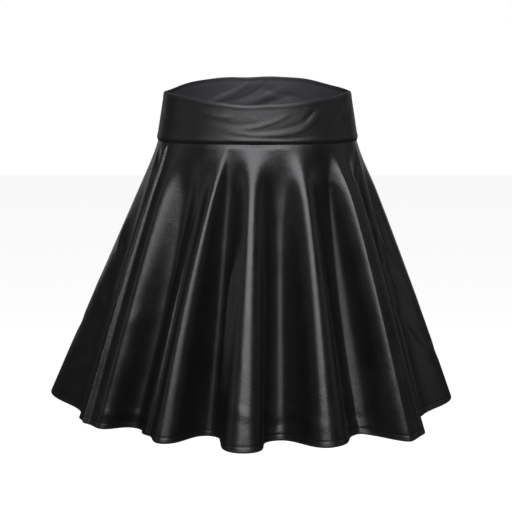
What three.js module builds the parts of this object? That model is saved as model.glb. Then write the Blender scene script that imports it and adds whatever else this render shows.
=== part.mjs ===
// Flared leather mini skirt with a wide waistband, hollow and filled out as if worn.
// Millimetres, +Z up, the front faces -Y. The origin is the middle of the waist.
// Azimuths are degrees about the Z axis from the front, positive towards +X.

import * as THREE from 'three';

// Cloth
const LEATHER = 1.5;
const BAND_WALL = 2.6; // the band is a strip folded double
const HEM_WALL = 2.6;
const HEM_TURN = 7; // height of the turned and stitched hem
const SEAM_GAP = 0.3;

// Waist: each ring is an ellipse
const TOP_RING = { halfWidth: 111.5, halfDepth: 88 };
const SEAM_RING = { halfWidth: 120.5, halfDepth: 95 };
const BAND_PROUD = 0.8; // the skirt's ring lies this far inside the band's face
const TOP_SIDE_Z = 28;
const TOP_FRONT_DIP = 11.5;
const TOP_BACK_RISE = 14;
const SEAM_SIDE_Z = -28;
const SEAM_FRONT_RISE = 2;
const SEAM_BACK_RISE = 12;
const BAND_SEAM_AZIMUTH = 94; // side seams of the band, just behind the widest points

// Skirt
const HEM_Z = -345;
const SKIRT_LENGTH = 343; // along the cloth, waist seam to hem
const SOFT_START = 9; // length over which the folds leave the waist seam
const START_DOWN = 0.2; // share of the way down by which each line shows all of its own start

// Lines of the folds, in order round the skirt.
// atWaist, atHem: azimuth of the line at the waist seam and at the hem
// settle: how soon the line swings from the one azimuth to the other
// reach: distance from the Z axis at the hem
// start: how late the line leaves the waist ring, later above 1 and sooner below it
// droop: how far the hem hangs below HEM_Z
// round: sideways swell of the cloth between this line and the next, degrees at the hem
const FOLD_LINES = [
	{ name: 'crest L', atWaist: -94, atHem: -97, settle: 1, reach: 261, start: 0.99, droop: 0, round: 0 },
	{ name: 'edge L', atWaist: -80, atHem: -71.5, settle: 1.5, reach: 222, start: 1, droop: 0, round: 0.3 },
	{ name: 'floor LA', atWaist: -75.5, atHem: -68.5, settle: 1.5, reach: 198, start: 1.1, droop: 6, round: 0.3 },
	{ name: 'edge A', atWaist: -71, atHem: -65, settle: 1.2, reach: 230, start: 1, droop: 0, round: 0.2 },
	{ name: 'crest A', atWaist: -60, atHem: -54, settle: 2, reach: 228, start: 0.9, droop: 0, round: 1.2 },
	{ name: 'floor AB', atWaist: -44, atHem: -49, settle: 1, reach: 182, start: 1.25, droop: 6, round: 0.4 },
	{ name: 'edge B', atWaist: -35, atHem: -37.5, settle: 1, reach: 202, start: 1.1, droop: 1, round: 0 },
	{ name: 'crest B', atWaist: -22, atHem: -30, settle: 3, reach: 220, start: 0.94, droop: 0, round: 1.2 },
	{ name: 'floor BC', atWaist: -17.8, atHem: -20, settle: 2, reach: 156, start: 1.25, droop: 6, round: 1.3 },
	{ name: 'crest C', atWaist: -3, atHem: -4.5, settle: 1, reach: 226, start: 0.9, droop: 0, round: 1.8 },
	{ name: 'floor CD', atWaist: 15, atHem: 8.5, settle: 1, reach: 164, start: 1.45, droop: 6, round: 0.6 },
	{ name: 'crest D', atWaist: 29, atHem: 21.7, settle: 1.4, reach: 221, start: 0.9, droop: 0, round: 0.5 },
	{ name: 'floor DE', atWaist: 48, atHem: 39.5, settle: 1, reach: 180, start: 1.5, droop: 6, round: 0.4 },
	{ name: 'edge E', atWaist: 55, atHem: 46.5, settle: 1.6, reach: 239, start: 0.86, droop: 6, round: 0 },
	{ name: 'crest E', atWaist: 61, atHem: 50.3, settle: 1.6, reach: 242, start: 0.86, droop: 2, round: 1.1 },
	{ name: 'floor ER', atWaist: 75, atHem: 59, settle: 2, reach: 192, start: 1.2, droop: 6, round: 0.8 },
	{ name: 'edge R', atWaist: 80, atHem: 67, settle: 1, reach: 213, start: 1, droop: 0, round: 0 },
	{ name: 'crest R', atWaist: 90, atHem: 89, settle: 1, reach: 240, start: 0.92, droop: 0, round: 0.6 },
	{ name: 'floor RF', atWaist: 104, atHem: 107, settle: 1, reach: 180, start: 1.2, droop: 6, round: 0.6 },
	{ name: 'crest F', atWaist: 118, atHem: 122, settle: 1, reach: 238, start: 0.92, droop: 0, round: 0.6 },
	{ name: 'floor FG', atWaist: 134, atHem: 136, settle: 1, reach: 168, start: 1.2, droop: 6, round: 0.6 },
	{ name: 'crest G', atWaist: 150, atHem: 151, settle: 1, reach: 232, start: 0.92, droop: 0, round: 0.6 },
	{ name: 'floor GH', atWaist: 165, atHem: 165, settle: 1, reach: 162, start: 1.25, droop: 6, round: 0.6 },
	{ name: 'crest H', atWaist: 180, atHem: 179, settle: 1, reach: 228, start: 0.92, droop: 0, round: 0.6 },
	{ name: 'floor HI', atWaist: 195, atHem: 195, settle: 1, reach: 164, start: 1.25, droop: 6, round: 0.6 },
	{ name: 'crest I', atWaist: 210, atHem: 210, settle: 1, reach: 234, start: 0.92, droop: 0, round: 0.6 },
	{ name: 'floor IJ', atWaist: 226, atHem: 225, settle: 1, reach: 170, start: 1.2, droop: 6, round: 0.6 },
	{ name: 'crest J', atWaist: 240, atHem: 238, settle: 1, reach: 244, start: 0.92, droop: 0, round: 0.6 },
	{ name: 'floor JL', atWaist: 254, atHem: 250, settle: 1, reach: 186, start: 1.2, droop: 6, round: 0.6 },
];
const LEFT_SEAM_LINE = 'edge A';
const RIGHT_SEAM_LINE = 'floor RF';

// Fineness of the solids
const STEPS_PER_FOLD_LINE = 6;
const SKIRT_LEVELS = 11;
const LEVEL_BIAS = 1.6; // levels crowd towards the waist, where the folds start
const BAND_STEPS = 30;
const BAND_LEVELS = 3;
const PROBE = 1e-3; // step for slopes, as a share of one fold line or of the height

const TURN = 360;

function squareOfCosine(azimuth) {
	return Math.cos(THREE.MathUtils.degToRad(azimuth)) ** 2;
}

function facesFront(azimuth) {
	return Math.cos(THREE.MathUtils.degToRad(azimuth)) > 0;
}

function topZ(azimuth) {
	const share = squareOfCosine(azimuth);
	if (facesFront(azimuth)) return TOP_SIDE_Z - TOP_FRONT_DIP * share;
	return TOP_SIDE_Z + TOP_BACK_RISE * (1 - (1 - share) ** 2);
}

function seamZ(azimuth) {
	const rise = facesFront(azimuth) ? SEAM_FRONT_RISE : SEAM_BACK_RISE;
	return SEAM_SIDE_Z + rise * squareOfCosine(azimuth);
}

function ringRadius(ring, azimuth) {
	const angle = THREE.MathUtils.degToRad(azimuth);
	return 1 / Math.hypot(Math.sin(angle) / ring.halfWidth, Math.cos(angle) / ring.halfDepth);
}

function pointAt(azimuth, radius, z) {
	const angle = THREE.MathUtils.degToRad(azimuth);
	return new THREE.Vector3(radius * Math.sin(angle), -radius * Math.cos(angle), z);
}

// Outer face of the band: along is an azimuth, down runs from 0 at the top edge to 1 at the seam.
function bandPoint(along, down) {
	const top = ringRadius(TOP_RING, along);
	const seam = ringRadius(SEAM_RING, along);
	const low = seamZ(along) + SEAM_GAP / 2;
	const z = THREE.MathUtils.lerp(topZ(along), low, down);
	return pointAt(along, THREE.MathUtils.lerp(top, seam, down), z);
}

// Share of the fold's spread that is reached at a share of the way down.
function spreadShare(down) {
	const length = down * SKIRT_LENGTH;
	const full = SKIRT_LENGTH ** 2 / (SKIRT_LENGTH + SOFT_START);
	return length ** 2 / (length + SOFT_START) / full;
}

function lineAzimuth(line, down) {
	return line.atHem + (line.atWaist - line.atHem) * (1 - down) ** line.settle;
}

// Outer face of the skirt: along counts fold lines, down runs from 0 at the seam to 1 at the hem.
function skirtPoint(along, down) {
	const count = FOLD_LINES.length;
	const step = Math.floor(along);
	const share = along - step;
	const lap = Math.floor(step / count);
	const from = FOLD_LINES[step - lap * count];
	const to = FOLD_LINES[(step + 1 - lap * count) % count];
	const left = lineAzimuth(from, down) + lap * TURN;
	const right = lineAzimuth(to, down) + Math.floor((step + 1) / count) * TURN;
	const swell = from.round * down * Math.sin(2 * Math.PI * share);
	const azimuth = THREE.MathUtils.lerp(left, right, share) + swell;
	const blend = (1 - Math.cos(Math.PI * share)) / 2;
	const waist = ringRadius(SEAM_RING, azimuth) - BAND_PROUD;
	const reach = THREE.MathUtils.lerp(from.reach, to.reach, blend);
	const own = THREE.MathUtils.smoothstep(down, 0, START_DOWN);
	const start = 1 + (THREE.MathUtils.lerp(from.start, to.start, blend) - 1) * own;
	const radius = waist + (reach - waist) * spreadShare(down) ** start;
	const hem = HEM_Z - THREE.MathUtils.lerp(from.droop, to.droop, blend);
	const z = THREE.MathUtils.lerp(seamZ(azimuth) - SEAM_GAP / 2, hem, down);
	return pointAt(azimuth, radius, z);
}

// Direction along a face, and the level step from it that goes one millimetre deep, square to the face.
function slopesAt(face, along, down) {
	const alongSlope = face(along + PROBE, down).sub(face(along - PROBE, down)).normalize();
	const upper = Math.max(down - PROBE, 0);
	const lower = Math.min(down + PROBE, 1);
	const downSlope = face(along, lower).sub(face(along, upper)).normalize();
	const normal = new THREE.Vector3().crossVectors(downSlope, alongSlope).normalize();
	const level = new THREE.Vector3(normal.x, normal.y, 0);
	return { alongSlope, inward: level.divideScalar(-level.lengthSq()) };
}

// Closed wall behind an outer face, drawn back by half a seam gap at its two ends.
function wallGeometry(face, alongs, downs, wallAt) {
	const outer = [];
	const inner = [];
	const last = alongs.length - 1;
	for (const down of downs) {
		alongs.forEach((along, column) => {
			const { alongSlope, inward } = slopesAt(face, along, down);
			const point = face(along, down);
			if (column === 0) point.addScaledVector(alongSlope, SEAM_GAP / 2);
			if (column === last) point.addScaledVector(alongSlope, -SEAM_GAP / 2);
			outer.push(point);
			inner.push(point.clone().addScaledVector(inward, wallAt(down)));
		});
	}
	const index = [];
	const width = alongs.length;
	const offset = outer.length;
	for (let row = 0; row < downs.length - 1; row++) {
		for (let column = 0; column < last; column++) {
			const a = row * width + column;
			const b = a + 1;
			const c = a + width;
			const d = c + 1;
			index.push(a, c, d, a, d, b);
			index.push(offset + a, offset + d, offset + c, offset + a, offset + b, offset + d);
		}
	}
	const rim = [];
	for (let row = 0; row < downs.length - 1; row++) rim.push(row * width);
	for (let column = 0; column < last; column++) rim.push((downs.length - 1) * width + column);
	for (let row = downs.length - 1; row > 0; row--) rim.push(row * width + last);
	for (let column = last; column > 0; column--) rim.push(column);
	rim.forEach((p, place) => {
		const q = rim[(place + 1) % rim.length];
		index.push(q, p, offset + p, q, offset + p, offset + q);
	});
	const geometry = new THREE.BufferGeometry().setFromPoints([...outer, ...inner]);
	geometry.setIndex(index);
	geometry.computeVertexNormals();
	return geometry;
}

function evenSteps(from, to, count) {
	return Array.from({ length: count + 1 }, (_, i) => THREE.MathUtils.lerp(from, to, i / count));
}

// Levels of the skirt: crowded at the waist, with two more where the hem is turned.
function skirtLevels() {
	const levels = evenSteps(0, 1, SKIRT_LEVELS).map((share) => share ** LEVEL_BIAS);
	const turn = 1 - HEM_TURN / SKIRT_LENGTH;
	const step = 1 - (HEM_TURN + HEM_WALL - LEATHER) / SKIRT_LENGTH;
	return [...levels.slice(0, -1), step, turn, 1];
}

function skirtWall(down) {
	const turn = 1 - HEM_TURN / SKIRT_LENGTH;
	return down < turn - PROBE ? LEATHER : HEM_WALL;
}

function leather(color, roughness) {
	return new THREE.MeshStandardMaterial({ color, roughness, metalness: 0 });
}

function bandStrip(name, fromAzimuth, toAzimuth) {
	const alongs = evenSteps(fromAzimuth, toAzimuth, BAND_STEPS);
	const downs = evenSteps(0, 1, BAND_LEVELS);
	const geometry = wallGeometry(bandPoint, alongs, downs, () => BAND_WALL);
	const mesh = new THREE.Mesh(geometry, leather(0x1b1b1d, 0.42));
	mesh.name = name;
	return mesh;
}

function skirtPanel(name, fromLine, toLine) {
	const alongs = evenSteps(fromLine, toLine, (toLine - fromLine) * STEPS_PER_FOLD_LINE);
	const geometry = wallGeometry(skirtPoint, alongs, skirtLevels(), skirtWall);
	const mesh = new THREE.Mesh(geometry, leather(0x18181a, 0.38));
	mesh.name = name;
	return mesh;
}

function lineNumber(name) {
	return FOLD_LINES.findIndex((line) => line.name === name);
}

const leftSeam = lineNumber(LEFT_SEAM_LINE);
const rightSeam = lineNumber(RIGHT_SEAM_LINE);

const skirt = new THREE.Group();
skirt.add(bandStrip('waistband_front', -BAND_SEAM_AZIMUTH, BAND_SEAM_AZIMUTH));
skirt.add(bandStrip('waistband_back', BAND_SEAM_AZIMUTH, TURN - BAND_SEAM_AZIMUTH));
skirt.add(skirtPanel('skirt_front', leftSeam, rightSeam));
skirt.add(skirtPanel('skirt_back', rightSeam, leftSeam + FOLD_LINES.length));

export default skirt;
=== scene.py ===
"""Flared leather mini skirt with a wide waistband, hollow and filled out as if worn.

Metres, +Z up, the front faces -Y, and the origin is the middle of the waist.
Azimuths are degrees about the Z axis from the front, positive towards +X.
"""
import math
from collections import namedtuple

import bpy
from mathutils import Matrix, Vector
import numpy as np


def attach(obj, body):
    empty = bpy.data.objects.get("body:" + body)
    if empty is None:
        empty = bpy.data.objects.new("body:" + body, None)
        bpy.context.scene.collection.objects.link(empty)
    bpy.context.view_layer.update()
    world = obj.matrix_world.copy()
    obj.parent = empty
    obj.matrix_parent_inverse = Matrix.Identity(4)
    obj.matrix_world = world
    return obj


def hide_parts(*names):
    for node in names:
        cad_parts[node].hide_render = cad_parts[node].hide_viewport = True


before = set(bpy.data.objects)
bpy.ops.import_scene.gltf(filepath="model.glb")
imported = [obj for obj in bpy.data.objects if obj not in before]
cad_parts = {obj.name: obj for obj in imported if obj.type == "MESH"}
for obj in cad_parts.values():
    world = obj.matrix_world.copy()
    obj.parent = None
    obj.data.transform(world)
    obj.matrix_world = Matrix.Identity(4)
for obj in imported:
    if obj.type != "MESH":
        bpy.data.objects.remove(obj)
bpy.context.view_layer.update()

# Waist rings and levels
TOP_HALF_WIDTH, TOP_HALF_DEPTH = 0.1115, 0.088
SEAM_HALF_WIDTH, SEAM_HALF_DEPTH = 0.1205, 0.095
TOP_SIDE_Z, TOP_FRONT_DIP, TOP_BACK_RISE = 0.028, 0.0115, 0.014
SEAM_SIDE_Z, SEAM_FRONT_RISE, SEAM_BACK_RISE = -0.028, 0.002, 0.012
BAND_SEAM_AZIMUTH = 94
BAND_PROUD = 0.0008
BAND_WALL = 0.0026
SEAM_GAP = 0.0003

# Skirt
HEM_Z = -0.345
SKIRT_LENGTH = 0.343
SOFT_START = 0.009
START_DOWN = 0.2
LEATHER = 0.0014
HEM_WALL = 0.0026
HEM_TURN = 0.007
HEM_STEP = 0.001
STITCH_FROM_HEM = 0.0055

# Lines of the folds in order round the skirt: azimuths at the waist and the hem, how soon the line swings
# from one to the other, reach from the axis at the hem, how late it leaves the waist's width, droop of the
# hem, and sideways swell of the cloth after the line
Fold = namedtuple("Fold", "name at_waist at_hem settle reach start droop swell")
FOLDS = [
    Fold("crest L", -94, -97, 1, 0.261, 0.99, 0, 0),
    Fold("edge L", -80, -71.5, 1.5, 0.222, 1, 0, 0.3),
    Fold("floor LA", -75.5, -68.5, 1.5, 0.198, 1.1, 0.006, 0.3),
    Fold("edge A", -71, -65, 1.2, 0.230, 1, 0, 0.2),
    Fold("crest A", -60, -54, 2, 0.228, 0.9, 0, 1.2),
    Fold("floor AB", -44, -49, 1, 0.182, 1.25, 0.006, 0.4),
    Fold("edge B", -35, -37.5, 1, 0.202, 1.1, 0.001, 0),
    Fold("crest B", -22, -30, 3, 0.220, 0.94, 0, 1.2),
    Fold("floor BC", -17.8, -20, 2, 0.156, 1.25, 0.006, 1.3),
    Fold("crest C", -3, -4.5, 1, 0.226, 0.9, 0, 1.8),
    Fold("floor CD", 15, 8.5, 1, 0.164, 1.45, 0.006, 0.6),
    Fold("crest D", 29, 21.7, 1.4, 0.221, 0.9, 0, 0.5),
    Fold("floor DE", 48, 39.5, 1, 0.180, 1.5, 0.006, 0.4),
    Fold("edge E", 55, 46.5, 1.6, 0.239, 0.86, 0.006, 0),
    Fold("crest E", 61, 50.3, 1.6, 0.242, 0.86, 0.002, 1.1),
    Fold("floor ER", 75, 59, 2, 0.192, 1.2, 0.006, 0.8),
    Fold("edge R", 80, 67, 1, 0.213, 1, 0, 0),
    Fold("crest R", 90, 89, 1, 0.240, 0.92, 0, 0.6),
    Fold("floor RF", 104, 107, 1, 0.180, 1.2, 0.006, 0.6),
    Fold("crest F", 118, 122, 1, 0.238, 0.92, 0, 0.6),
    Fold("floor FG", 134, 136, 1, 0.168, 1.2, 0.006, 0.6),
    Fold("crest G", 150, 151, 1, 0.232, 0.92, 0, 0.6),
    Fold("floor GH", 165, 165, 1, 0.162, 1.25, 0.006, 0.6),
    Fold("crest H", 180, 179, 1, 0.228, 0.92, 0, 0.6),
    Fold("floor HI", 195, 195, 1, 0.164, 1.25, 0.006, 0.6),
    Fold("crest I", 210, 210, 1, 0.234, 0.92, 0, 0.6),
    Fold("floor IJ", 226, 225, 1, 0.170, 1.2, 0.006, 0.6),
    Fold("crest J", 240, 238, 1, 0.244, 0.92, 0, 0.6),
    Fold("floor JL", 254, 250, 1, 0.186, 1.2, 0.006, 0.6),
]
LEFT_SEAM = [fold.name for fold in FOLDS].index("edge A")
RIGHT_SEAM = [fold.name for fold in FOLDS].index("floor RF")
LEFT_AGAIN = LEFT_SEAM + len(FOLDS)
TURN = 360


def bell(distance, width):
    return np.exp(-(distance / width) ** 2)


def square_of_cosine(azimuth):
    return np.cos(np.radians(azimuth)) ** 2


def faces_front(azimuth):
    return np.cos(np.radians(azimuth)) > 0


def top_z(azimuth):
    share = square_of_cosine(azimuth)
    front = TOP_SIDE_Z - TOP_FRONT_DIP * share
    back = TOP_SIDE_Z + TOP_BACK_RISE * (1 - (1 - share) ** 2)
    return np.where(faces_front(azimuth), front, back)


def seam_z(azimuth):
    rise = np.where(faces_front(azimuth), SEAM_FRONT_RISE, SEAM_BACK_RISE)
    return SEAM_SIDE_Z + rise * square_of_cosine(azimuth)


def ring_radius(half_width, half_depth, azimuth):
    angle = np.radians(azimuth)
    return 1 / np.hypot(np.sin(angle) / half_width, np.cos(angle) / half_depth)


def around(azimuth, radius, z):
    angle = np.radians(azimuth)
    return np.stack([radius * np.sin(angle), -radius * np.cos(angle), z], -1)


def band_face(azimuth, down):
    """Plain outer face of the band: down runs from 0 at the top edge to 1 at the waist seam."""
    top = ring_radius(TOP_HALF_WIDTH, TOP_HALF_DEPTH, azimuth)
    seam = ring_radius(SEAM_HALF_WIDTH, SEAM_HALF_DEPTH, azimuth)
    z = top_z(azimuth) + (seam_z(azimuth) + SEAM_GAP / 2 - top_z(azimuth)) * down
    return around(azimuth, top + (seam - top) * down, z)


def spread_share(down):
    """How far the skirt has spread at a share of the way down: it leaves the waist seam softly."""
    length = down * SKIRT_LENGTH
    full = SKIRT_LENGTH ** 2 / (SKIRT_LENGTH + SOFT_START)
    return length ** 2 / (length + SOFT_START) / full


def at_line(values, number):
    """A value that each fold line has, at whole line numbers that may run on past a turn."""
    return np.array(values, float)[number % len(FOLDS)]


def line_azimuth(number, down):
    waist = at_line([f.at_waist for f in FOLDS], number)
    hem = at_line([f.at_hem for f in FOLDS], number)
    settle = at_line([f.settle for f in FOLDS], number)
    return hem + (waist - hem) * np.clip(1 - down, 0, None) ** settle + number // len(FOLDS) * TURN


def skirt_azimuth(along, down):
    """Azimuth of a point of the skirt: along counts fold lines, down runs from the seam, 0, to the hem, 1."""
    step = np.floor(along).astype(int)
    share = along - step
    before, after = line_azimuth(step, down), line_azimuth(step + 1, down)
    swell = at_line([f.swell for f in FOLDS], step) * down
    return before + (after - before) * share + swell * np.sin(2 * np.pi * share)


def shaped_share(down):
    """How far the folds show their own starts: from none at the waist seam to all at START_DOWN."""
    share = np.clip(down / START_DOWN, 0, 1)
    return share * share * (3 - 2 * share)


def between_lines(values, along):
    """A value that each fold line has, blended from line to line."""
    step = np.floor(along).astype(int)
    blend = (1 - np.cos(np.pi * (along - step))) / 2
    before, after = at_line(values, step), at_line(values, step + 1)
    return before + (after - before) * blend


def skirt_face(along, down):
    """Plain outer face of the skirt."""
    azimuth = skirt_azimuth(along, down)
    waist = ring_radius(SEAM_HALF_WIDTH, SEAM_HALF_DEPTH, azimuth) - BAND_PROUD
    reach = between_lines([f.reach for f in FOLDS], along)
    hem = HEM_Z - between_lines([f.droop for f in FOLDS], along)
    start = 1 + (between_lines([f.start for f in FOLDS], along) - 1) * shaped_share(down)
    share = np.clip(spread_share(down), 1e-9, None) ** start
    top = seam_z(azimuth) - SEAM_GAP / 2
    return around(azimuth, waist + (reach - waist) * share, top + (hem - top) * down)


# Creases: soft ridges (height above 0) and troughs (below 0) from one point of the cloth to another.
# A point is an azimuth and a share of the way down the piece; bow is how far the crease bends sideways.
Crease = namedtuple("Crease", "from_azimuth from_down to_azimuth to_down bow width height")
BAND_CREASES = [
    Crease(-18, 0.70, 34, 0.65, 0.0058, 0.0030, 0.0005),
    Crease(-10, 0.60, 23, 0.25, 0.0040, 0.0030, 0.0005),
    Crease(4, 0.86, 38, 0.82, 0.0020, 0.0026, -0.0005),
    Crease(8, 0.66, 36, 0.42, 0.0025, 0.0024, -0.0003),
    Crease(33, 0.46, 41, 0.24, 0.0004, 0.0022, -0.0007),
    Crease(26, 0.74, 50, 0.14, 0.0030, 0.0040, 0.0005),
    Crease(-38, 0.30, -18, 0.33, 0.0010, 0.0030, 0.0004),
    Crease(-30, 0.46, 2, 0.44, 0.0030, 0.0040, -0.0003),
    Crease(-26, 0.86, 6, 0.94, 0.0010, 0.0030, 0.0003),
    Crease(50, 0.70, 69, 0.04, 0.0012, 0.0018, -0.0006),
    Crease(56, 0.66, 74, 0.06, 0.0012, 0.0018, 0.0005),
    Crease(62, 0.78, 80, 0.12, 0.0012, 0.0018, -0.0006),
    Crease(44, 0.50, 58, 0.10, 0.0012, 0.0020, 0.0003),
    Crease(-84, 0.30, -62, 0.74, 0.0010, 0.0040, -0.0003),
    Crease(104, 0.60, 128, 0.30, 0.0015, 0.0030, 0.0006),
    Crease(122, 0.76, 158, 0.58, 0.0020, 0.0034, -0.0007),
    Crease(142, 0.40, 176, 0.24, 0.0015, 0.0032, 0.0006),
    Crease(157, 0.18, 191, 0.58, 0.0020, 0.0034, -0.0010),
    Crease(172, 0.12, 200, 0.50, 0.0020, 0.0030, 0.0008),
    Crease(150, 0.30, 183, 0.62, 0.0020, 0.0034, 0.0009),
    Crease(186, 0.10, 214, 0.44, 0.0020, 0.0030, -0.0008),
    Crease(168, 0.76, 206, 0.70, 0.0025, 0.0034, 0.0008),
    Crease(196, 0.34, 224, 0.54, -0.0015, 0.0030, -0.0006),
    Crease(218, 0.80, 246, 0.52, 0.0015, 0.0030, 0.0006),
    Crease(236, 0.24, 258, 0.60, -0.0015, 0.0032, -0.0006),
]
SKIRT_CREASES = [
    Crease(48.6, 0.15, 41.9, 0.99, 0, 0.0025, -0.0040),
    Crease(70, 0.42, 84, 0.62, 0.002, 0.005, -0.0010),
    Crease(74, 0.30, 82, 0.52, 0.002, 0.005, 0.0009),
    Crease(69, 0.60, 77, 0.76, -0.002, 0.005, -0.0012),
    Crease(76, 0.66, 86, 0.84, 0.002, 0.007, 0.0012),
    Crease(80, 0.86, 92, 0.80, 0.001, 0.007, -0.0008),
    Crease(-90, 0.30, -82, 0.46, 0.002, 0.007, 0.0015),
    Crease(-92, 0.56, -78, 0.62, 0.003, 0.009, 0.0020),
    Crease(-96, 0.70, -82, 0.84, 0.002, 0.010, -0.0020),
    Crease(-84, 0.88, -74, 0.80, 0.001, 0.009, 0.0020),
    Crease(-56, 0.66, -47, 0.56, 0.002, 0.008, 0.0006),
    Crease(-54, 0.94, -46, 0.97, 0.001, 0.005, 0.0008),
    Crease(33, 0.90, 41, 0.95, 0.002, 0.005, -0.0010),
    Crease(34, 0.84, 39, 0.88, 0.001, 0.005, 0.0010),
    Crease(30, 0.93, 36, 0.98, -0.001, 0.004, 0.0008),
    Crease(12, 0.90, 20, 0.94, 0.001, 0.006, 0.0006),
    Crease(4, 0.96, 16, 0.93, 0.001, 0.005, -0.0006),
    Crease(-8, 0.86, 0, 0.90, 0.001, 0.006, 0.0006),
    Crease(112, 0.50, 120, 0.64, 0.002, 0.006, 0.0009),
    Crease(140, 0.70, 149, 0.80, 0.002, 0.007, -0.0009),
    Crease(170, 0.52, 178, 0.62, 0.002, 0.006, 0.0008),
    Crease(198, 0.84, 208, 0.90, 0.002, 0.007, 0.0009),
    Crease(228, 0.62, 238, 0.72, 0.002, 0.007, -0.0009),
    Crease(244, 0.40, 252, 0.56, 0.002, 0.006, 0.0009),
]
# Long folds pressed into the outer face only, and the share of their length over which they rise
PRESSED_FOLDS = [
    Crease(-33.6, 0.14, -38.3, 0.99, 0, 0.0040, 0.0047),
    Crease(-9.5, 0.30, -13, 0.99, 0, 0.0036, 0.0085),
]
PRESSED_RISE = 0.25
CREASE_END = 0.02

# Small uneven lumps all over a face
Lumps = namedtuple("Lumps", "count seed width height")
SKIRT_LUMPS = Lumps(90, 5, 0.010, 0.00022)
BAND_LUMPS = Lumps(40, 8, 0.006, 0.00018)
LUMP_BOW = 0.001


def turned_to(azimuth, centre):
    """Azimuths counted from a centre, within half a turn of it."""
    return (azimuth - centre + TURN / 2) % TURN - TURN / 2


def crease_relief(azimuth, down, radius, length, creases, rise=None):
    """Height of the creases over a face, in metres. They may rise slowly over a share of their length."""
    relief = np.zeros(np.broadcast(azimuth, down).shape)
    for crease in creases:
        across = np.radians(turned_to(azimuth, crease.from_azimuth)) * radius
        below = (down - crease.from_down) * length
        run = np.radians(crease.to_azimuth - crease.from_azimuth) * radius
        fall = (crease.to_down - crease.from_down) * length
        reach = np.hypot(run, fall)
        share = (across * run + below * fall) / reach ** 2
        inside = np.clip(share, 0, 1)
        aside = (below * run - across * fall) / reach - crease.bow * 4 * inside * (1 - inside)
        beyond = (share - inside) * reach
        taper = np.sqrt(np.sin(np.pi * np.clip(share, CREASE_END, 1 - CREASE_END)))
        if rise:
            taper = taper * np.clip(share / rise, 0, 1)
        relief += crease.height * taper * bell(aside, crease.width) * bell(beyond, crease.width)
    return relief


def soft_lumps(azimuth, down, radius, length, lumps):
    """Height of the lumps over a face, in metres, from their fixed seed."""
    rng = np.random.default_rng(lumps.seed)
    creases = []
    for _ in range(lumps.count):
        start = rng.uniform(0, TURN)
        level = rng.uniform(0.08, 0.98)
        lean = rng.uniform(-9, 9)
        drop = rng.uniform(0.03, 0.16)
        width = rng.uniform(0.6, 1.4) * lumps.width
        lift = rng.choice([-1, 1]) * rng.uniform(0.3, 1) * lumps.height
        creases.append(Crease(start, level, start + lean, level + drop, LUMP_BOW, width, lift))
    return crease_relief(azimuth, down, radius, length, creases)


def normals_of(grid):
    """Unit normals of a grid of points, outward for grids that run down and towards +azimuth."""
    along = np.gradient(grid, axis=1)
    downward = np.gradient(grid, axis=0)
    normal = np.cross(downward, along)
    return normal / np.linalg.norm(normal, axis=-1, keepdims=True)


def raised(grid, relief):
    return grid + normals_of(grid) * relief[..., None]


# Steps round the upper and the lower edge of a wall, and the angle from which its faces meet sharply
EDGE_STEPS = 6
SHARP_ANGLE = 55


def profile(levels, wall_at):
    """Levels and depths once round a wall: down its outer face, round the lower edge, up the inner face
    and round the upper edge. Levels are metres along the cloth."""
    low, high = levels[-1], levels[0]
    outer = [(level, 0.0) for level in levels]
    inner = [(level, wall_at(level)) for level in levels[::-1]]
    bend = np.linspace(0, np.pi, EDGE_STEPS + 1)[1:-1]
    under = [(low + wall_at(low) / 2 * math.sin(a), wall_at(low) / 2 * (1 - math.cos(a))) for a in bend]
    over = [(high - wall_at(high) / 2 * math.sin(a), wall_at(high) / 2 * (1 + math.cos(a))) for a in bend]
    return np.array(outer + under + inner + over).T


def face_at_levels(grid, levels, wanted):
    """Rows of a grid at the wanted levels, carried on in a straight line past its ends."""
    index = np.interp(wanted, levels, np.arange(len(levels)))
    low = np.clip(np.floor(index).astype(int), 0, len(levels) - 2)
    share = (index - low)[:, None, None]
    rows = grid[low] * (1 - share) + grid[low + 1] * share
    step_in = (grid[1] - grid[0]) / (levels[1] - levels[0])
    step_out = (grid[-1] - grid[-2]) / (levels[-1] - levels[-2])
    before = np.minimum(wanted - levels[0], 0)[:, None, None]
    after = np.maximum(wanted - levels[-1], 0)[:, None, None]
    return rows + step_in[None] * before + step_out[None] * after


def wall_points(grid, smooth, levels, wall_at):
    """Points of a thin wall behind a grid of outer points, in rows once round it, and the levels of the rows.
    Its inner face lies behind the smooth grid, so that sharp ridges stay on the outer face."""
    wanted, depth = profile(levels, wall_at)
    inside = np.clip(wanted, levels[0], levels[-1])
    share = (depth / np.array([wall_at(level) for level in inside]))[:, None, None]
    face = face_at_levels(grid, levels, wanted) * (1 - share) + face_at_levels(smooth, levels, wanted) * share
    inward = -face_at_levels(normals_of(smooth), levels, inside)
    inward /= np.linalg.norm(inward, axis=-1, keepdims=True)
    return face + inward * depth[:, None, None], wanted


def wall_mesh(name, points, count):
    """Closed mesh of a wall's points: quads all round it, and caps that close its two ends."""
    rounds, columns = points.shape[:2]
    here, column = np.meshgrid(np.arange(rounds), np.arange(columns - 1), indexing="ij")
    here, after = here * columns + column, (here + 1) % rounds * columns + column
    quads = np.stack([here, after, after + 1, here + 1], -1).reshape(-1, 4)
    ladder = rungs(count)
    caps = []
    for (a, d), (b, c) in zip(ladder[:-1], ladder[1:]):
        caps.append([row * columns for row in without_repeats([a, d, c, b])])
        caps.append([row * columns + columns - 1 for row in without_repeats([b, c, d, a])])
    return new_mesh(name, points.reshape(-1, 3), quads, caps)


def rungs(count):
    """Pairs of rows that face each other across a wall, from its upper edge to its lower."""
    total = 2 * count + 2 * (EDGE_STEPS - 1)
    start = total - EDGE_STEPS // 2
    places = [(start + k) % total for k in range(count + EDGE_STEPS)]
    return [(k, (2 * count + EDGE_STEPS - 2 - k) % total) for k in places]


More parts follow.
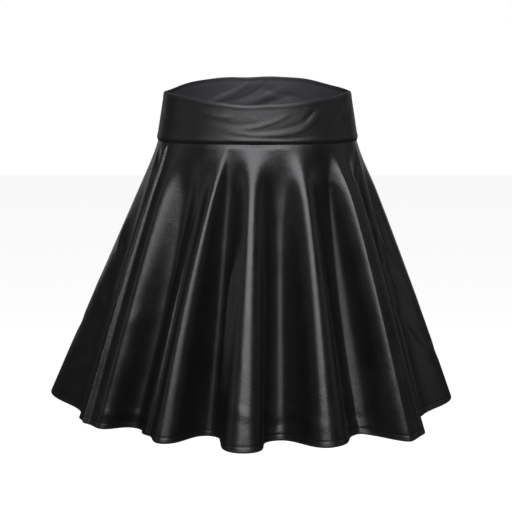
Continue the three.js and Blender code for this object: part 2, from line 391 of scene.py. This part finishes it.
def without_repeats(corners):
    return list(dict.fromkeys(corners))


def placed(name, data):
    """A new object in the scene."""
    thing = bpy.data.objects.new(name, data)
    bpy.context.scene.collection.objects.link(thing)
    return thing


def new_mesh(name, points, quads, others=()):
    """Smooth mesh of many quads and a few other faces."""
    quads = np.array(quads)
    mesh = bpy.data.meshes.new(name)
    mesh.vertices.add(len(points))
    mesh.vertices.foreach_set("co", np.asarray(points, np.float32).ravel())
    loops = np.concatenate([quads.ravel(), [k for face in others for k in face]]).astype(np.int32)
    sizes = np.concatenate([np.full(len(quads), 4), [len(face) for face in others]]).astype(np.int32)
    mesh.loops.add(len(loops))
    mesh.loops.foreach_set("vertex_index", loops)
    mesh.polygons.add(len(sizes))
    mesh.polygons.foreach_set("loop_start", np.concatenate([[0], np.cumsum(sizes)[:-1]]).astype(np.int32))
    mesh.polygons.foreach_set("use_smooth", np.ones(len(sizes), bool))
    mesh.update(calc_edges=True)
    return placed(name, mesh)


# Columns round the skirt, in fold lines: close steps beside a seam, and close ones under the pressed edge
SEAM_STEPS = np.array([0, 0.012, 0.024, 0.036, 0.048, 0.062, 0.078, 0.096, 0.118, 0.145, 0.18, 0.22])
EDGE_PLACES = np.arange(0.24, 0.84, 0.018)
COLUMNS_PER_LINE = 18
# Rows of the walls, in metres down the cloth: closer at the seams, rims and hem
SKIRT_LEVELS = np.concatenate([
    np.linspace(0, 0.020, 12),
    np.linspace(0.020, 0.331, 106)[1:],
    np.linspace(0.331, SKIRT_LENGTH, 15)[1:],
])
BAND_HEIGHT = 0.050
BAND_ROWS = np.concatenate([
    np.linspace(0, 0.005, 6),
    np.linspace(0.005, 0.044, 27)[1:],
    np.linspace(0.044, BAND_HEIGHT, 8)[1:],
])
BAND_COLUMNS = 264
VISUAL_GAP = 0.000002


def round_columns():
    """Places of the columns all round, from the left seam to itself, in fold lines."""
    places = []
    front, back = (LEFT_SEAM, RIGHT_SEAM, EDGE_PLACES), (RIGHT_SEAM, LEFT_AGAIN, EDGE_PLACES[:1])
    for first, last, extra in (front, back):
        near, far = first + np.concatenate([SEAM_STEPS, extra]), last - SEAM_STEPS[:0:-1]
        middle = np.linspace(near[-1], far[0], int((far[0] - near[-1]) * COLUMNS_PER_LINE))
        places += [*near, *middle[1:-1], *far]
    return np.array([*places, LEFT_AGAIN])


def full_round():
    """Grid of plain outer points all round the skirt from the left seam, with one spare column at each end,
    and the places of its columns."""
    places = round_columns()
    along = np.array([places[-2] - len(FOLDS), *places, places[1] + len(FOLDS)])
    down = SKIRT_LEVELS[:, None] / SKIRT_LENGTH
    return skirt_face(*np.broadcast_arrays(along[None, :], down)), along


def drawn_back(grid):
    """The end columns moved towards their neighbours by half the visual gap."""
    grid = grid.copy()
    for end, neighbour in ((0, 1), (-1, -2)):
        way = grid[:, neighbour] - grid[:, end]
        grid[:, end] += way / np.linalg.norm(way, axis=-1, keepdims=True) * VISUAL_GAP / 2
    return grid


def azimuth_of(points):
    return np.degrees(np.arctan2(points[..., 0], -points[..., 1]))


# Skirt's top edge, tucked in under the band: depths at the sides and added in front, in metres and degrees
TUCK_DEPTH, TUCK_MORE, TUCK_HEIGHT = 0.0008, 0.0012, 0.0035
TUCK_CENTRE, TUCK_SPREAD = 2, 32
# Groove of the hem's stitching, and small uneven waves beside it
HEM_GROOVE, HEM_GROOVE_WIDTH = 0.00024, 0.0011
PUCKERS, PUCKER_SEED, PUCKER_HEIGHT = 26, 11, 0.00024
PUCKER_FROM_HEM, PUCKER_REACH = 0.006, 0.007
# Grooves of the side seams, and the low ridges beside the right one
SEAM_GROOVE, SEAM_GROOVE_WIDTH = 0.0005, 0.0010
SEAM_RIDGE, SEAM_RIDGE_ASIDE, SEAM_RIDGE_WIDTH = 0.0004, 0.0030, 0.0018
# Sharp edge pressed beside the left seam, each value at the waist seam and at the hem
EDGE_ASIDE = (0.0090, 0.0255)
EDGE_WIDTH = (0.0013, 0.0028)
EDGE_HEIGHT = (0.0026, 0.0076)
PRESSED_FROM_SEAM = 0.010


def seam_relief(azimuth, level):
    """The skirt's top edge tucks in under the band: most in the middle of the front."""
    return -(TUCK_DEPTH + TUCK_MORE * bell(azimuth - TUCK_CENTRE, TUCK_SPREAD)) * bell(level, TUCK_HEIGHT)


def hem_relief(azimuth, from_hem):
    """Groove of the hem's stitching, and the waves along it from a fixed seed."""
    rng = np.random.default_rng(PUCKER_SEED)
    wave = np.zeros_like(azimuth)
    for _ in range(PUCKERS):
        centre = rng.uniform(-TURN / 2, TURN / 2)
        width = rng.uniform(1.2, 3.0)
        wave += rng.uniform(-1, 1) * bell(turned_to(azimuth, centre), width)
    groove = HEM_GROOVE * bell(from_hem - STITCH_FROM_HEM, HEM_GROOVE_WIDTH)
    return PUCKER_HEIGHT * wave * bell(from_hem - PUCKER_FROM_HEM, PUCKER_REACH) - groove


def pressed_edge(aside, down):
    """Height of the pressed edge at a distance from the left seam, in metres."""
    ranges = (EDGE_ASIDE, EDGE_WIDTH, EDGE_HEIGHT)
    place, width, height = (waist + (hem - waist) * down for waist, hem in ranges)
    return height * bell(aside - place, width)


def skirt_grid():
    """Outer points of the skirt all round, with the pressed folds and without them."""
    grid, along = full_round()
    azimuth = azimuth_of(grid)
    radius = np.hypot(grid[..., 0], grid[..., 1])
    level = SKIRT_LEVELS[:, None]
    down = level / SKIRT_LENGTH
    relief = crease_relief(azimuth, down, radius, SKIRT_LENGTH, SKIRT_CREASES)
    relief += soft_lumps(azimuth, down, radius, SKIRT_LENGTH, SKIRT_LUMPS)
    relief += seam_relief(azimuth, level) + hem_relief(azimuth, SKIRT_LENGTH - level)
    press = crease_relief(azimuth, down, radius, SKIRT_LENGTH, PRESSED_FOLDS, PRESSED_RISE)
    steps = np.linalg.norm(np.diff(grid, axis=1), axis=-1)
    run = np.concatenate([np.zeros((len(SKIRT_LEVELS), 1)), np.cumsum(steps, axis=1)], axis=1)
    for seam in (LEFT_SEAM, RIGHT_SEAM, LEFT_AGAIN):
        aside = run - run[:, [int(np.argmin(np.abs(along - seam)))]]
        relief -= SEAM_GROOVE * bell(aside, SEAM_GROOVE_WIDTH)
        if seam == RIGHT_SEAM:
            relief += SEAM_RIDGE * bell(np.abs(aside) - SEAM_RIDGE_ASIDE, SEAM_RIDGE_WIDTH)
        else:
            press += pressed_edge(aside, down)
    press *= np.clip(level / PRESSED_FROM_SEAM, 0, 1)
    return raised(grid, relief + press)[:, 1:-1], raised(grid, relief)[:, 1:-1]


def skirt_wall(level):
    """Thickness down the skirt: one layer, and more where the hem is turned up."""
    share = min(max((level - (SKIRT_LENGTH - HEM_TURN - HEM_STEP)) / HEM_STEP, 0), 1)
    return LEATHER + (HEM_WALL - LEATHER) * share


# Band: the radius at which its creases are measured, its low edge drawn in at the seam, the swells above that
# and below the rim (place, width and height), and the rim's waves (height, number in a turn and offset)
BAND_RADIUS = 0.105
BAND_TUCK, BAND_TUCK_HEIGHT = 0.0011, 0.0016
SEAM_SWELL_PLACE, SEAM_SWELL_WIDTH, SEAM_SWELL = 0.004, 0.003, 0.0004
RIM_SWELL_PLACE, RIM_SWELL_WIDTH, RIM_SWELL = 0.003, 0.002, 0.0003
RIM_WAVES = ((0.0004, 5, 20), (0.0003, 11, 0))


def band_grid(from_azimuth, to_azimuth):
    """Outer points of one half of the band."""
    columns = np.linspace(from_azimuth, to_azimuth, BAND_COLUMNS + 1)[None, :]
    level = BAND_ROWS[:, None]
    azimuth, down = np.broadcast_arrays(columns, level / BAND_HEIGHT)
    grid = band_face(azimuth, down)
    relief = crease_relief(azimuth, down, BAND_RADIUS, BAND_HEIGHT, BAND_CREASES)
    relief += soft_lumps(azimuth, down, BAND_RADIUS, BAND_HEIGHT, BAND_LUMPS)
    from_seam = BAND_HEIGHT - level
    relief -= BAND_TUCK * bell(from_seam, BAND_TUCK_HEIGHT)
    relief += SEAM_SWELL * bell(from_seam - SEAM_SWELL_PLACE, SEAM_SWELL_WIDTH)
    relief += RIM_SWELL * bell(level - RIM_SWELL_PLACE, RIM_SWELL_WIDTH)
    for height, count, offset in RIM_WAVES:
        grid[..., 2] += height * np.sin(np.radians(azimuth * count + offset)) * (1 - down)
    return raised(grid, relief)


def band_wall(_level):
    return BAND_WALL


# Materials

def new_material(name):
    """A new material, its node tree and its shader."""
    material = bpy.data.materials.new(name)
    material.use_nodes = True
    return material, material.node_tree, material.node_tree.nodes["Principled BSDF"]


def add_node(tree, kind, **settings):
    node = tree.nodes.new("ShaderNode" + kind)
    for name, value in settings.items():
        setattr(node, name, value)
    return node


def set_inputs(node, values):
    for name, value in values.items():
        node.inputs[name].default_value = value
    return node


def noise(tree, place, scale, detail):
    node = set_inputs(add_node(tree, "TexNoise"), {"Scale": scale, "Detail": detail})
    tree.links.new(place.outputs["Object"], node.inputs["Vector"])
    return node


def colour_mix(tree, factor, colours):
    """Blend between the colours by a factor."""
    node = add_node(tree, "Mix", data_type="RGBA")
    set_inputs(node, {name: (*colour, 1) for name, colour in colours.items()})
    tree.links.new(factor, node.inputs["Factor"])
    return node


def bump(tree, height, strength, distance, under=None):
    """Bump from a height, on top of the bump under it."""
    node = set_inputs(add_node(tree, "Bump"), {"Strength": strength, "Distance": distance})
    tree.links.new(height, node.inputs["Height"])
    if under:
        tree.links.new(under.outputs["Normal"], node.inputs["Normal"])
    return node


def leather(name, grain_per_metre, dark, light, rough_low, rough_high):
    """Smooth coated leather: near black, a fine grain, soft uneven gloss and paler edges where it is worn."""
    material, tree, shader = new_material(name)
    links = tree.links
    place = add_node(tree, "TexCoord")
    cloudy = noise(tree, place, scale=26, detail=5)
    uneven = noise(tree, place, scale=95, detail=2)
    fine = noise(tree, place, scale=420, detail=3)
    grain = add_node(tree, "TexVoronoi", feature="SMOOTH_F1")
    set_inputs(grain, {"Scale": grain_per_metre, "Smoothness": 0.6})
    links.new(place.outputs["Object"], grain.inputs["Vector"])

    tint = colour_mix(tree, cloudy.outputs["Fac"], {"A": dark, "B": light})
    wear = add_node(tree, "Attribute", attribute_name="wear")
    worn = colour_mix(tree, wear.outputs["Fac"], {"B": WORN_COLOUR})
    links.new(tint.outputs["Result"], worn.inputs["A"])
    links.new(worn.outputs["Result"], shader.inputs["Base Color"])

    gloss = add_node(tree, "MapRange")
    set_inputs(gloss, {"From Min": 0.3, "From Max": 0.7, "To Min": rough_low, "To Max": rough_high})
    links.new(cloudy.outputs["Fac"], gloss.inputs["Value"])
    speckle = add_node(tree, "Math", operation="MULTIPLY_ADD")
    speckle.inputs[1].default_value = SPECKLE
    links.new(fine.outputs["Fac"], speckle.inputs[0])
    links.new(gloss.outputs["Result"], speckle.inputs[2])
    links.new(speckle.outputs["Value"], shader.inputs["Roughness"])

    pebbles = bump(tree, grain.outputs["Distance"], strength=0.28, distance=0.00012)
    ripple = bump(tree, fine.outputs["Fac"], strength=0.22, distance=0.0006, under=pebbles)
    wavy = bump(tree, uneven.outputs["Fac"], strength=0.20, distance=0.0012, under=ripple)
    links.new(wavy.outputs["Normal"], shader.inputs["Normal"])
    return material


def knit_backing(name, dark, light):
    """Dark knitted backing on the inside of the leather."""
    material, tree, shader = new_material(name)
    set_inputs(shader, {"Roughness": 0.92, "Sheen Weight": 0.15})
    place = add_node(tree, "TexCoord")
    rows = add_node(tree, "TexWave", bands_direction="Z")
    set_inputs(rows, {"Scale": 260, "Distortion": 3})
    tree.links.new(place.outputs["Object"], rows.inputs["Vector"])
    tint = colour_mix(tree, rows.outputs["Fac"], {"A": dark, "B": light})
    tree.links.new(tint.outputs["Result"], shader.inputs["Base Color"])
    knit = bump(tree, rows.outputs["Fac"], strength=0.4, distance=0.0003)
    tree.links.new(knit.outputs["Normal"], shader.inputs["Normal"])
    return material


def plain(name, colour, roughness):
    material, _, shader = new_material(name)
    set_inputs(shader, {"Base Color": (*colour, 1), "Roughness": roughness})
    return material


WORN_COLOUR = (0.020, 0.020, 0.022)
SPECKLE = 0.06
skirt_leather = leather("skirt_leather", 1500, (0.0040, 0.0040, 0.0046), (0.0075, 0.0075, 0.0084), 0.27, 0.37)
# The band's inner facing is the same black leather, painted several times paler: a painted sheen standing in
# for the light that falls on the inside of the band
band_facing_painted_sheen = leather("band_facing_painted_sheen", 1300, (0.028, 0.028, 0.033), (0.046, 0.046, 0.053), 0.48, 0.60)
# The band's leather is painted a little paler than the skirt's: painted light that brightens the band
band_leather = leather("band_leather", 1500, (0.0045, 0.0045, 0.0052), (0.0085, 0.0085, 0.0096), 0.38, 0.48)
backing = knit_backing("knit_backing", (0.012, 0.012, 0.013), (0.028, 0.028, 0.030))
thread = plain("black_thread", (0.010, 0.010, 0.011), 0.55)

# The garment: worn edges are a share of the way down the wall and how worn it is there
SKIRT_EDGES = ((1.0, 0.8),)
BAND_EDGES = ((0.0, 0.7), (1.0, 0.3))
WEAR_WIDTH = 0.0014


def wall_piece(name, grid, smooth, levels, wall_at, materials, worn_edges):
    """A closed wall with one material outside and another on its inner face, and worn edges."""
    points, row_levels = wall_points(grid, smooth, levels, wall_at)
    rounds, columns = points.shape[:2]
    piece = wall_mesh(name, points, len(levels))
    mesh = piece.data
    for material in materials:
        mesh.materials.append(material)
    index = np.zeros(len(mesh.polygons), np.int32)
    row_of_quad = np.repeat(np.arange(rounds), columns - 1)
    first = len(levels) + EDGE_STEPS - 1
    index[:len(row_of_quad)] = (row_of_quad >= first) & (row_of_quad < first + len(levels) - 1)
    mesh.polygons.foreach_set("material_index", index)
    wears = [worn * bell(row_levels - edge * levels[-1], WEAR_WIDTH) for edge, worn in worn_edges]
    wear = np.max(wears, axis=0)
    attribute = mesh.attributes.new("wear", "FLOAT", "POINT")
    attribute.data.foreach_set("value", np.repeat(wear, columns).astype(np.float32))
    mesh.set_sharp_from_angle(angle=math.radians(SHARP_ANGLE))
    return piece


whole_skirt, smooth_skirt = skirt_grid()
seam_column = int(np.argmin(np.abs(round_columns() - RIGHT_SEAM)))
panel_columns = {"front": slice(0, seam_column + 1), "back": slice(seam_column, None)}
for side, name, cad_node in (("front", "front_panel_leather", "skirt_front"),
                             ("back", "back_panel_leather", "skirt_back")):
    outer, inner = (drawn_back(grid[:, panel_columns[side]]) for grid in (whole_skirt, smooth_skirt))
    piece = wall_piece(name, outer, inner, SKIRT_LEVELS, skirt_wall, [skirt_leather, backing], SKIRT_EDGES)
    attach(piece, "root")
    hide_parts(cad_node)

for side, name, cad_node, start, end in (
        ("front", "band_front_leather", "waistband_front", -BAND_SEAM_AZIMUTH, BAND_SEAM_AZIMUTH),
        ("back", "band_back_leather", "waistband_back", BAND_SEAM_AZIMUTH, TURN - BAND_SEAM_AZIMUTH)):
    strip = drawn_back(band_grid(start, end))
    piece = wall_piece(name, strip, strip, BAND_ROWS, band_wall, [band_leather, band_facing_painted_sheen], BAND_EDGES)
    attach(piece, "root")
    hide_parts(cad_node)

# Stitches of the hem: at places along each one, its lift off the cloth and its radius
STITCH_LENGTH = 0.0027
STITCH_PITCH = 0.0035
STITCH_WIDTH = 0.00042
STITCH_SIDES = 6
STITCH_PLACES = np.array([0.0, 0.18, 0.5, 0.82, 1.0])
STITCH_LIFTS = np.array([-0.5, 0.45, 0.6, 0.45, -0.5]) * STITCH_WIDTH
STITCH_RADII = np.array([0.35, 0.9, 1.0, 0.9, 0.35]) * STITCH_WIDTH / 2


def stitch_points(centre, out):
    """Rings of points round one thread, from its centres and the cloth's normals there."""
    way = centre[-1] - centre[0]
    aside = np.cross(out, way / np.linalg.norm(way))
    angle = 2 * np.pi * np.arange(STITCH_SIDES)[:, None] / STITCH_SIDES
    ring = out[:, None] * np.cos(angle) + aside[:, None] * np.sin(angle)
    middle = centre + out * STITCH_LIFTS[:, None]
    return (middle[:, None] + ring * STITCH_RADII[:, None, None]).reshape(-1, 3)


def stitch_faces(first):
    """Quads round one thread and the faces at its two ends, where its points count from the first."""
    rings = first + np.arange(len(STITCH_PLACES) * STITCH_SIDES).reshape(-1, STITCH_SIDES)
    after = np.roll(rings, -1, axis=1)
    quads = np.stack([rings[:-1], rings[1:], after[1:], after[:-1]], -1).reshape(-1, 4)
    return quads, [list(rings[0]), list(rings[-1][::-1])]


def on_line(at, run, values):
    """Values of a line of points at distances along it."""
    return np.stack([np.interp(at, run, values[:, k]) for k in range(3)], -1)


def stitches(name, line, normals, material):
    """Short sunk threads along a line of points lying on the cloth."""
    run = np.concatenate([[0], np.cumsum(np.linalg.norm(np.diff(line, axis=0), axis=1))])
    count = int(run[-1] / STITCH_PITCH)
    points, quads, ends = [], [], []
    for number in range(count):
        at = (number + 0.5) * run[-1] / count + (STITCH_PLACES - 0.5) * STITCH_LENGTH
        out = on_line(at, run, normals)
        out /= np.linalg.norm(out, axis=1, keepdims=True)
        round_it, at_ends = stitch_faces(len(points))
        points += list(stitch_points(on_line(at, run, line), out))
        quads += list(round_it)
        ends += at_ends
    piece = new_mesh(name, points, quads, ends)
    piece.data.materials.append(material)
    return piece


stitch_row = int(np.argmin(np.abs(SKIRT_LEVELS - (SKIRT_LENGTH - STITCH_FROM_HEM))))
skirt_normals = normals_of(whole_skirt)
for side, columns in panel_columns.items():
    piece = stitches("hem_stitches_" + side, whole_skirt[stitch_row, columns],
                     skirt_normals[stitch_row, columns], thread)
    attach(piece, "root")


# Studio: the lights stand round its centre, and each is aimed at it
CENTRE_Z = -0.17
WHITE = (1, 1, 1)
Box = namedtuple("Box", "name azimuth elevation distance width height radiance colour")
SOFT_BOXES = [
    Box("key_box", 0, 40, 2.0, 2.1, 1.5, 5.6, (0.97, 0.975, 1.0)),
    Box("side_left", -85, 22, 2.0, 0.9, 1.5, 0.45, WHITE),
    Box("side_right", 100, 20, 2.0, 0.9, 1.5, 0.3, WHITE),
    Box("rim_left", -146, 4, 2.0, 0.5, 0.5, 0.7, WHITE),
    Box("rim_right", 150, 8, 2.0, 0.8, 0.8, 0.5, WHITE),
    Box("back_box", 180, 40, 2.4, 1.6, 1.2, 0.9, WHITE),
]
FLOOR_Z = -1.05
FLOOR_SIDE, FLOOR_FRONT, FLOOR_BACK = 6, -6, 9
FLOOR_GLOW = 0.9
SEEN_STRENGTH, ROOM_STRENGTH = 1.0, 0.035
CAMERA_DISTANCE = 1.57
CAMERA_ELEVATION = 9.8
CAMERA_AIM = (-0.0017, 0, -0.1706)
CAMERA_LENS = 90.52
SENSOR_WIDTH = 36
CLIP_START, CLIP_END = 0.05, 40


def soft_box(box):
    """Area light of a stated radiance, aimed at the centre."""
    light = bpy.data.lights.new(box.name, "AREA")
    light.shape = "RECTANGLE"
    light.size, light.size_y = box.width, box.height
    light.energy = box.radiance * math.pi * box.width * box.height
    light.color = box.colour
    lamp = placed(box.name, light)
    level = box.distance * math.cos(math.radians(box.elevation))
    angle = math.radians(box.azimuth)
    height = box.distance * math.sin(math.radians(box.elevation))
    lamp.location = (level * math.sin(angle), -level * math.cos(angle), CENTRE_Z + height)
    lamp.rotation_mode = "QUATERNION"
    lamp.rotation_quaternion = (Vector((0, 0, CENTRE_Z)) - lamp.location).to_track_quat("-Z", "Y")


def pale_floor():
    """Glowing floor far below, which only the camera sees."""
    corners = [(-FLOOR_SIDE, FLOOR_FRONT, FLOOR_Z), (FLOOR_SIDE, FLOOR_FRONT, FLOOR_Z),
               (FLOOR_SIDE, FLOOR_BACK, FLOOR_Z), (-FLOOR_SIDE, FLOOR_BACK, FLOOR_Z)]
    floor = new_mesh("floor", corners, [[0, 1, 2, 3]])
    pale = plain("pale_floor", (0.9, 0.9, 0.9), 0.9)
    set_inputs(pale.node_tree.nodes["Principled BSDF"],
               {"Emission Color": (*WHITE, 1), "Emission Strength": FLOOR_GLOW})
    floor.data.materials.append(pale)
    floor.visible_glossy = False
    floor.visible_diffuse = False


def studio_world():
    """White where the camera looks past the skirt, and nearly dark for the light that reaches it."""
    world = bpy.data.worlds.new("studio")
    world.use_nodes = True
    tree = world.node_tree
    tree.nodes.clear()
    rays = add_node(tree, "LightPath")
    seen = set_inputs(add_node(tree, "Background"), {"Color": (*WHITE, 1), "Strength": SEEN_STRENGTH})
    room = set_inputs(add_node(tree, "Background"), {"Color": (*WHITE, 1), "Strength": ROOM_STRENGTH})
    either = add_node(tree, "MixShader")
    output = add_node(tree, "OutputWorld")
    tree.links.new(rays.outputs["Is Camera Ray"], either.inputs["Fac"])
    tree.links.new(room.outputs["Background"], either.inputs[1])
    tree.links.new(seen.outputs["Background"], either.inputs[2])
    tree.links.new(either.outputs["Shader"], output.inputs["Surface"])
    return world


def photo_camera():
    camera = placed("camera", bpy.data.cameras.new("camera"))
    camera.data.sensor_width = SENSOR_WIDTH
    camera.data.lens = CAMERA_LENS
    camera.data.clip_start, camera.data.clip_end = CLIP_START, CLIP_END
    tilt = math.radians(CAMERA_ELEVATION)
    camera.location = (CAMERA_AIM[0], CAMERA_AIM[1] - CAMERA_DISTANCE * math.cos(tilt),
                       CAMERA_AIM[2] + CAMERA_DISTANCE * math.sin(tilt))
    camera.rotation_euler = (math.radians(90) - tilt, 0, 0)
    return camera


for box in SOFT_BOXES:
    soft_box(box)
pale_floor()
scene = bpy.context.scene
scene.world = studio_world()
scene.view_settings.view_transform = "Standard"
scene.camera = photo_camera()
